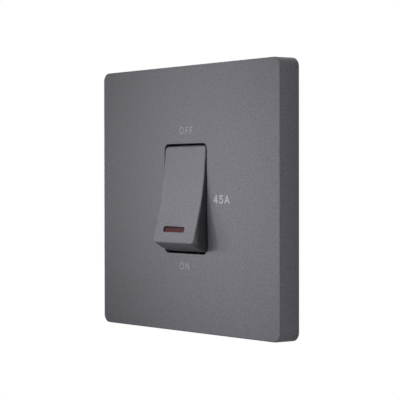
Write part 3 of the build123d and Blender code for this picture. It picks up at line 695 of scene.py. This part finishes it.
@dataclass
class PlateMarks:
    """Words for off and on above and below the rocker, and the current rating beside it."""

    ink: Material
    slot: str
    word_height_mm: float = 2.25
    rating_height_mm: float = 2.75
    thin_mm: float = 0.21
    bold_mm: float = 0.48
    word_gap_mm: float = 0.9
    rating_gap_mm: float = 0.6
    proud_mm: float = 0.02
    sunk_mm: float = 0.01
    step_mm: float = 0.001
    round_points: int = 40
    round_power: float = 2.4
    left_mm: float = -2.85
    off_base_mm: float = 20.92
    on_base_mm: float = -22.88
    rating_left_mm: float = 13.5
    rating_base_mm: float = -1.47

    def ring(self, start: float, end: float, middle: tuple, reach: tuple,
             power: float = 2.0) -> np.ndarray:
        """Points of a rounded stretch of a letter.

        A superellipse: middle + reach times the sign and the 2 / power root of the cosine and
        sine of each angle.

        Args:
            start: First angle in degrees.
            end: Last angle in degrees.
            middle: Centre, in shares of the letter's width and height.
            reach: Half width and half height, in the same shares.
            power: 2 for an ellipse, and more for squarer shoulders.

        Returns:
            Points as (n, 2).
        """
        angle = np.radians(np.linspace(start, end, self.round_points))
        turn = np.stack([np.cos(angle), np.sin(angle)], axis=-1)
        return np.array(middle) + np.array(reach) * np.sign(turn) * np.abs(turn) ** (2 / power)

    @staticmethod
    def line(*points: tuple[float, float]) -> Stroke:
        """An open stroke through points."""
        return np.array(points), False

    def letter(self, sign: str) -> tuple[float, list[Stroke]]:
        """Strokes of one letter or figure, through points in shares of its width and height.

        Args:
            sign: The letter.

        Returns:
            Its width as a share of its height, and its strokes, each with whether it closes.
        """
        last_angle = 360 * (1 - 1 / self.round_points)
        closed_ring = self.ring(0, last_angle, (0.5, 0.5), (0.5, 0.5), self.round_power)
        bowl = self.ring(128, -142, (0.47, 0.335), (0.53, 0.335))
        line = self.line
        strokes = {
            "O": (0.93, [(closed_ring, True)]),
            "F": (0.53, [line((0, 0), (0, 1), (1, 1)), line((0, 0.52), (0.85, 0.52))]),
            "N": (0.71, [line((0, 0), (0, 1)), line((0, 1), (1, 0)), line((1, 0), (1, 1))]),
            "4": (0.72, [line((0.74, 1), (0, 0.28), (1, 0.28)), line((0.74, 0), (0.74, 1))]),
            "5": (0.66, [(np.concatenate([[(0.93, 1), (0.16, 1)], bowl]), False)]),
            "A": (0.87, [line((0, 0), (0.5, 1)), line((1, 0), (0.5, 1)), line((0.2, 0.3), (0.8, 0.3))]),
        }
        return strokes[sign]

    @staticmethod
    def band(path: np.ndarray, width: float, closed: bool) -> tuple[np.ndarray, np.ndarray]:
        """Two edges of a flat band along a path.

        Each point moves sideways along the line that halves its corner, by half the width over
        the cosine of half the turn, so that straight runs keep their width. An open path is first
        lengthened by half a width at each end.

        Args:
            path: Points as (n, 2).
            width: The band's width.
            closed: Whether the path closes on itself.

        Returns:
            The left and the right edge, as (n, 2) each.
        """
        ahead = np.roll(path, -1, axis=0) - path
        ahead /= np.linalg.norm(ahead, axis=1, keepdims=True)
        if not closed:
            ahead[-1] = ahead[-2]
        behind = np.roll(ahead, 1, axis=0)
        if not closed:
            behind[0] = ahead[0]
            path = path.copy()
            path[0] -= ahead[0] * width / 2
            path[-1] += ahead[-1] * width / 2
        middle = ahead + behind
        middle /= np.linalg.norm(middle, axis=1, keepdims=True)
        side = np.stack([-middle[:, 1], middle[:, 0]], axis=-1)
        shift = side * (width / 2 / np.sum(middle * ahead, axis=1, keepdims=True))
        return path + shift, path - shift

    def word(self, signs: str, corner_mm: tuple[float, float], height_mm: float, stroke_mm: float,
             gap_mm: float) -> Shape:
        """Thin raised solids of a word on the plate's front.

        Args:
            signs: The letters.
            corner_mm: Where the word starts, and the line that it stands on.
            height_mm: Height of its letters.
            stroke_mm: Width of its strokes.
            gap_mm: Space between letters.

        Returns:
            All the strokes as one shape.
        """
        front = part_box("front_plate")[0].y
        parts = []
        pen, base = corner_mm
        for sign in signs:
            share, strokes = self.letter(sign)
            width = share * height_mm
            inner = np.array([width - stroke_mm, height_mm - stroke_mm])
            for order, (path, closed) in enumerate(strokes):
                flat = np.array([pen, base]) + stroke_mm / 2 + path * inner
                left, right = self.band(flat, stroke_mm, closed)
                outer = np.full(len(flat), front - (self.proud_mm + order * self.step_mm) * MM)
                under = np.full(len(flat), front + self.sunk_mm * MM)
                corners = [(left, outer), (right, outer), (right, under), (left, under)]
                rows = [np.stack([edge[:, 0] * MM, depth, edge[:, 1] * MM], axis=-1)
                        for edge, depth in corners]
                parts.append(skin(np.stack(rows, axis=1), closed))
            pen += width + gap_mm
        return join(parts)

    def build(self) -> None:
        """Make the three marks as pieces of the plate."""
        plain = (self.word_height_mm, self.thin_mm, self.word_gap_mm)
        bold = (self.rating_height_mm, self.bold_mm, self.rating_gap_mm)
        words = {
            "off_mark": self.word("OFF", (self.left_mm, self.off_base_mm), *plain),
            "on_mark": self.word("ON", (self.left_mm, self.on_base_mm), *plain),
            "rating_mark": self.word("45A", (self.rating_left_mm, self.rating_base_mm), *bold),
        }
        for name, shape in words.items():
            make_piece(name, shape, "base", self.slot, self.ink, smooth=False)


@dataclass
class PlungerSprings:
    """Round-wire springs behind the two plungers, built once; they keep their length as the plungers slide."""

    material: Material
    slot: str
    coil_mm: float = 1.75
    wire_mm: float = 0.55
    turns: float = 4.0
    rest: float = 0.35
    points_per_turn: int = 40
    sides: int = 12

    def coil(self, centre: np.ndarray, axis: np.ndarray, length: float) -> Shape:
        """Wire wound on a cylinder.

        The path's height is length times (u - rest sin(2 pi u) / 2 pi) for u from 0 to 1, so the
        end turns lie flatter. A circle of the wire's radius is carried along it, square to the path.

        Args:
            centre: Middle of the spring.
            axis: Its direction.
            length: Height between the middles of its two ends.

        Returns:
            The wire.
        """
        across = np.array([1.0, 0.0, 0.0])
        other = np.cross(axis, across)
        share = np.linspace(0, 1, int(self.turns * self.points_per_turn) + 1)[:, None]
        angle = 2 * np.pi * self.turns * share
        height = length * (share - self.rest * np.sin(2 * np.pi * share) / (2 * np.pi) - 0.5)
        outward = np.cos(angle) * across + np.sin(angle) * other
        path = centre + self.coil_mm * MM * outward + height * axis
        forward = np.gradient(path, axis=0)
        forward /= np.linalg.norm(forward, axis=1, keepdims=True)
        upward = np.cross(forward, outward)
        spin = np.linspace(0, 2 * np.pi, self.sides, endpoint=False)[None, :, None]
        ring = np.cos(spin) * outward[:, None] + np.sin(spin) * upward[:, None]
        return skin(path[:, None] + self.wire_mm / 2 * MM * ring, closed=False)

    def build(self) -> None:
        """Make the spring of each pole in place of its plain solid."""
        spread = (self.coil_mm + self.wire_mm / 2) * 2 * MM
        for joint in frame["joints"]:
            for change in joint.get("deforming_nodes", []):
                node = change["node"]
                low, high = (np.array(corner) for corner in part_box(node))
                axis = np.array(joint["axis"], float)
                axis /= np.linalg.norm(axis)
                centre = (low + high) / 2
                whole = (high[1] - low[1] - spread * abs(axis[2])) / abs(axis[1])
                wire = self.coil(centre, axis, whole - self.wire_mm * MM)
                piece = make_piece(f"{node}_wire", wire, "rocker", self.slot, self.material, smooth=True)
                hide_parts(node)
                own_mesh(piece)


@dataclass(frozen=True)
class ScrewForm:
    """One kind of slotted screw, with its sizes in millimetres."""

    node: str
    radius: float
    pitch: float
    thread: float
    slot_depth: float
    slot_width: float = 0.9
    head_radius: float = 0.0
    head_height: float = 0.0
    chamfer: float = 0.3


@dataclass
class SlottedScrews:
    """Threaded screws with slotted ends, in place of the plain ones."""

    material: Material
    slot: str
    forms: tuple[ScrewForm, ...] = (
        ScrewForm(node="terminal_screws", radius=2.0, pitch=0.7, thread=0.3, slot_depth=1.2),
        ScrewForm(node="earth_screw", radius=1.5, pitch=0.5, thread=0.22, slot_depth=1.2),
        ScrewForm(node="case_screws", radius=1.25, pitch=0.8, thread=0.25, slot_depth=0.65,
                  head_radius=2.5, head_height=1.3, chamfer=0.35),
    )
    arc_points: int = 17
    floor_points: int = 5
    head_points: int = 7
    rows_per_pitch: int = 8
    wall_turn: float = 0.01
    slot_reach: float = 2.0
    sharp_angle: float = math.radians(35)

    def columns(self, form: ScrewForm) -> tuple[np.ndarray, np.ndarray]:
        """Angles round the screw, and which of them end at the slot's floor.

        Args:
            form: The screw's sizes.

        Returns:
            The angles, in four runs of two raised arcs and two slot ends, and a mask that is true
            at the slot.
        """
        rim = max(form.radius, form.head_radius) - form.chamfer
        half = math.asin(form.slot_width / 2 / rim)
        raised = np.linspace(half, np.pi - half, self.arc_points)
        inner = half - self.wall_turn
        cut = np.linspace(np.pi - inner, np.pi + inner, self.floor_points)
        angle = np.concatenate([raised, cut, raised + np.pi, cut + np.pi])
        is_cut = np.concatenate([np.zeros(self.arc_points, bool), np.ones(self.floor_points, bool)] * 2)
        return angle, is_cut

    def profile(self, form: ScrewForm, length: float) -> tuple[np.ndarray, np.ndarray]:
        """Heights above the tip, and the outer radius there.

        Args:
            form: The screw's sizes.
            length: From the tip to the slotted end, in millimetres.

        Returns:
            Heights and radii, with two rows at the step under a head.
        """
        shank = length - form.head_height
        rows = int(shank / form.pitch * self.rows_per_pitch)
        height = np.linspace(0, shank, rows)
        radius = np.minimum(form.radius, form.radius - form.chamfer + height)
        if form.head_height > 0:
            turn = np.linspace(0, np.pi / 2, self.head_points)
            edge = form.head_radius - form.chamfer + form.chamfer * np.cos(turn)
            rise = length - form.chamfer + form.chamfer * np.sin(turn)
            height = np.concatenate([height, [shank], rise])
            radius = np.concatenate([radius, [form.head_radius], edge])
        else:
            radius = np.minimum(radius, form.radius - form.chamfer + length - height)
        return height, radius

    def solid(self, form: ScrewForm, tip: np.ndarray, length: float) -> Shape:
        """One screw as a closed skin.

        Radius(angle, height) is the profile less the thread's depth times a triangle wave of
        height / pitch - angle / turn, on the shank only. Columns at the slot stop at its floor.
        The end is closed by two raised segments, the floor and the slot's two walls.

        Args:
            form: The screw's sizes, in millimetres.
            tip: Middle of its front end, in metres.
            length: From the tip to the slotted end, in metres.

        Returns:
            The screw.
        """
        whole = length / MM
        angle, is_cut = self.columns(form)
        height, outer = self.profile(form, whole)
        shank = whole - form.head_height
        top = np.where(is_cut, whole - form.slot_depth, whole)
        base = min(shank, whole - self.slot_reach * form.slot_depth)
        grown = np.maximum(height[:, None] - base, 0) / (whole - base)
        level = np.minimum(height[:, None], base) + grown * (top[None, :] - base)
        phase = height[:, None] / form.pitch - angle[None, :] / (2 * np.pi)
        wave = 2 * np.abs(phase - np.floor(phase) - 0.5)
        threaded = (height < shank - form.pitch / 2)[:, None]
        radius = outer[:, None] - np.where(threaded, form.thread * wave, 0.0)
        grid = np.stack([radius * np.cos(angle), level, radius * np.sin(angle)], axis=-1)
        points = tip + grid.reshape(-1, 3) * MM
        number = np.arange(len(points)).reshape(grid.shape[:2])
        runs = np.cumsum([self.arc_points, self.floor_points, self.arc_points])
        upper, left, lower, right = np.split(number[-1], runs)
        ends = [number[0], upper, lower, np.concatenate([left, right]),
                np.array([upper[0], right[-1], left[0], upper[-1]]),
                np.array([lower[0], left[-1], right[0], lower[-1]])]
        return Shape(points, walls(number[:-1], number[1:]), ends)

    @staticmethod
    def middles(low: float, high: float, rim: float) -> list[float]:
        """Middles of the screws at both ends of a box along one axis, or of the only one there."""
        first, last = low + rim, high - rim
        return [first, last] if last - first > rim else [(first + last) / 2]

    def build(self) -> None:
        """Make each kind of screw at the places of its plain solids."""
        for form in self.forms:
            low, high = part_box(form.node)
            rim = max(form.radius, form.head_radius) * MM
            across = self.middles(low.x, high.x, rim)
            upward = self.middles(low.z, high.z, rim)
            places = [np.array([x, low.y, z]) for x in across for z in upward]
            shape = join([self.solid(form, place, high.y - low.y) for place in places])
            piece = make_piece(f"{form.node}_threaded", shape, "base", self.slot, self.material,
                               smooth=True)
            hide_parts(form.node)
            round_edges(piece, self.sharp_angle)


def direction(azimuth: float, elevation: float) -> Vector:
    """Unit vector from the switch at an azimuth and elevation in degrees, with azimuth 0 in front."""
    turn, rise = math.radians(azimuth), math.radians(elevation)
    return Vector((math.sin(turn) * math.cos(rise), -math.cos(turn) * math.cos(rise), math.sin(rise)))


@dataclass(frozen=True)
class SoftBox:
    """A lamp with a flat front that faces the switch, with angles in degrees."""

    name: str
    azimuth: float
    elevation: float
    power: float
    width: float = 0.08
    height: float = 0.13
    spread: float = 13.0
    aim_mm: tuple[float, float, float] = (0.0, 0.0, 0.0)
    distance: float = 0.6

    def place(self) -> None:
        """Hang the lamp in the studio, with a grid on its front where its spread is narrow."""
        lamp = bpy.data.lights.new(self.name, "AREA")
        lamp.shape = "RECTANGLE"
        lamp.size = self.width
        lamp.size_y = self.height
        lamp.energy = self.power
        lamp.spread = math.radians(self.spread)
        holder = bpy.data.objects.new(self.name, lamp)
        back = direction(self.azimuth, self.elevation)
        holder.location = Vector(self.aim_mm) * MM + back * self.distance
        holder.rotation_euler = back.to_track_quat("Z", "Y").to_euler()
        bpy.context.scene.collection.objects.link(holder)


@dataclass
class Studio:
    """Pale floor, white surroundings, soft lamps and the photograph's camera."""

    lamps: tuple[SoftBox, ...] = (
        SoftBox("key_left", azimuth=-65.0, elevation=8.0, power=0.0057, aim_mm=(8.0, -8.0, -10.0),
                height=0.08, spread=12.0),
        SoftBox("key", azimuth=-48.0, elevation=11.5, power=0.0169, aim_mm=(10.0, -8.0, 5.0)),
        SoftBox("key_right", azimuth=-35.0, elevation=18.0, power=0.0086, aim_mm=(22.0, -8.0, 5.0)),
        SoftBox("front", azimuth=-15.0, elevation=22.0, power=0.0113, aim_mm=(34.0, -8.0, -4.0)),
        SoftBox("side", azimuth=98.0, elevation=3.0, power=0.0102, aim_mm=(43.0, -24.0, 3.0),
                width=0.04, height=0.14, spread=8.0),
        SoftBox("rear_left", azimuth=-120.0, elevation=20.0, power=1.0, width=0.4, height=0.4,
                spread=180.0),
        SoftBox("rear", azimuth=-165.0, elevation=38.0, power=1.0, width=0.4, height=0.4,
                spread=180.0),
    )
    sky_level: float = 0.08
    image_pixels: float = 400.0
    focal_pixels: float = 1330.98
    sensor_mm: float = 36.0
    near_clip: float = 0.01
    azimuth: float = 48.211
    elevation: float = 0.691
    roll: float = -0.083
    distance: float = 0.43676
    target: tuple[float, float, float] = (-0.001836, 0.0, -0.000477)
    floor_drop: float = 0.08
    floor_radius: float = 3.0
    floor_points: int = 96
    floor_colour: Colour = (0.35, 0.35, 0.35)
    floor_glow: float = 0.7
    shadow_core: float = 0.1
    shadow_radius: float = 0.3

    def camera(self) -> None:
        """Set the camera where the photograph was taken from."""
        data = bpy.data.cameras.new("camera")
        data.sensor_fit = "HORIZONTAL"
        data.sensor_width = self.sensor_mm
        data.lens = self.focal_pixels / self.image_pixels * self.sensor_mm
        data.clip_start = self.near_clip
        camera = bpy.data.objects.new("camera", data)
        back = direction(self.azimuth, self.elevation)
        camera.location = Vector(self.target) + back * self.distance
        lean = Quaternion((0.0, 0.0, 1.0), math.radians(self.roll))
        camera.rotation_euler = (back.to_track_quat("Z", "Y") @ lean).to_euler()
        bpy.context.scene.collection.objects.link(camera)
        bpy.context.scene.camera = camera

    @staticmethod
    def seen_rays(graph: Graph) -> NodeSocket:
        """1 for rays that show a surface: from the camera, in a reflection or through glass.

        Args:
            graph: The graph of the floor or the surroundings.

        Returns:
            The socket of that number.
        """
        path = graph.add("ShaderNodeLightPath")
        shown = graph.math("MAXIMUM", path.outputs["Is Camera Ray"], path.outputs["Is Glossy Ray"])
        return graph.math("MAXIMUM", shown, path.outputs["Is Transmission Ray"])

    def surroundings(self) -> None:
        """White where it is seen, and an even dimmer light where it falls on matt surfaces."""
        world = bpy.data.worlds.new("surroundings")
        graph = Graph(cleared(world))
        even = graph.add("ShaderNodeBackground", Color=WHITE, Strength=self.sky_level)
        white = graph.add("ShaderNodeBackground", Color=WHITE, Strength=1.0)
        both = graph.blend(self.seen_rays(graph), even, white)
        graph.add("ShaderNodeOutputWorld", Surface=both.outputs[0])
        bpy.context.scene.world = world

    def floor_material(self) -> Material:
        """Pale matt floor that keeps the switch's shadow.

        It fades to white away from the switch, and is clear from below.

        Returns:
            The floor's material.
        """
        material = bpy.data.materials.new("pale_floor")
        graph = Graph(cleared(material))
        matt = graph.add("ShaderNodeBsdfDiffuse", Color=self.floor_colour)
        glow = graph.add("ShaderNodeEmission", Color=WHITE, Strength=self.floor_glow)
        near = graph.fill(graph.add("ShaderNodeAddShader"), matt.outputs[0], glow.outputs[0])
        white = graph.add("ShaderNodeEmission", Color=WHITE, Strength=1.0)
        spot = graph.add("ShaderNodeTexCoord").outputs["Object"]
        level = graph.vector_math("MULTIPLY", spot, (1.0, 1.0, 0.0)).outputs[0]
        length = graph.vector_math("LENGTH", level).outputs["Value"]
        away = graph.smooth_step(length, self.shadow_core, self.shadow_radius)
        shown = graph.blend(away, near, white)
        whole = graph.blend(self.seen_rays(graph), matt, shown)
        below = graph.add("ShaderNodeNewGeometry").outputs["Backfacing"]
        sided = graph.blend(below, whole, graph.add("ShaderNodeBsdfTransparent"))
        graph.add("ShaderNodeOutputMaterial", Surface=sided.outputs[0])
        return material

    def floor(self) -> None:
        """A round floor below the switch: points at radius times the cosine and sine of each angle."""
        angle = np.linspace(0, 2 * np.pi, self.floor_points, endpoint=False)
        level = np.full(self.floor_points, solid_bounds[0].z - self.floor_drop)
        across = np.cos(angle) * self.floor_radius
        along = np.sin(angle) * self.floor_radius
        rim = np.stack([across, along, level], axis=-1)
        mesh = bpy.data.meshes.new("floor")
        mesh.from_pydata(rim.tolist(), [], [list(range(self.floor_points))])
        mesh.materials.append(self.floor_material())
        ground = bpy.data.objects.new("floor", mesh)
        bpy.context.scene.collection.objects.link(ground)

    def build(self) -> None:
        """Set up the whole studio."""
        bpy.context.scene.view_settings.view_transform = "Standard"
        self.camera()
        self.surroundings()
        self.floor()
        for lamp in self.lamps:
            lamp.place()


def finishes() -> list[Finish]:
    """Finishes of all the solids, by the record's slots.

    Returns:
        One finish for each slot.
    """
    resistor_low, resistor_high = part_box("lamp_resistor")
    return [
        Moulding(slot="plate_grey", colour=(0.1625, 0.159, 0.182), roughness=0.6,
                 grain=Grain(speckle_mm=0.4, contrast=1.33, blotch_contrast=0.06),
                 edge_mm=0.05, edge_highlight_gain=0.0, specular=0.2),
        TintedWindow(slot="red_lens", node="indicator_lens", colour=(0.08, 0.013, 0.016),
                     painted_shade_colour=(0.008, 0.003, 0.004), roughness=0.12, specular=0.1),
        Moulding(slot="frame_grey", colour=(0.05, 0.05, 0.055), roughness=0.5),
        Moulding(slot="body_black", colour=(0.017, 0.017, 0.019), roughness=0.45),
        Metal(slot="screw_steel", colour=(0.46, 0.46, 0.45), roughness=0.38),
        Metal(slot="terminal_brass", colour=(0.68, 0.48, 0.2), roughness=0.3, axis=StreakAxis.ALONG_Z),
        Metal(slot="contact_copper", colour=(0.72, 0.36, 0.22), roughness=0.32, axis=StreakAxis.ALONG_Z),
        Metal(slot="contact_silver", colour=(0.82, 0.82, 0.8), roughness=0.25),
        Metal(slot="spring_steel", colour=(0.5, 0.5, 0.51), roughness=0.28),
        Moulding(slot="plunger_white", colour=(0.72, 0.71, 0.67), roughness=0.4),
        Moulding(slot="holder_white", colour=(0.66, 0.66, 0.64), roughness=0.45),
        ClearPart(slot="lamp_glass", colour=(0.95, 0.93, 0.9), roughness=0.03),
        BandedLacquer(slot="resistor_tan", colour=(0.5, 0.36, 0.22), roughness=0.35,
                      bands=((0.2, 0.06, 0.02), (0.01, 0.01, 0.01), (0.75, 0.45, 0.02)),
                      start=resistor_low.y, length=resistor_high.y - resistor_low.y),
        Metal(slot="tinned_wire", colour=(0.65, 0.65, 0.63), roughness=0.35, axis=StreakAxis.ALONG_Y),
    ]


def main() -> None:
    """Dress the switch, build its own pieces and set up the studio."""
    logging.basicConfig(level=logging.INFO, format="%(name)s: %(message)s")
    effects = SharedEffects()
    dressing = SolidDressing(finishes())
    dressing.make(effects)
    dressing.dress()
    ink = Moulding(slot="print_grey", colour=(0.345, 0.35, 0.38), roughness=0.55,
                   grain=Grain(contrast=0.2), edge_mm=0.01, edge_highlight_gain=0.0)
    PlateMarks(ink.material(effects), "plate_grey").build()
    PlungerSprings(dressing.materials["spring_steel"], "spring_steel").build()
    SlottedScrews(dressing.materials["screw_steel"], "screw_steel").build()
    Studio().build()


if __name__ == "__main__":
    main()
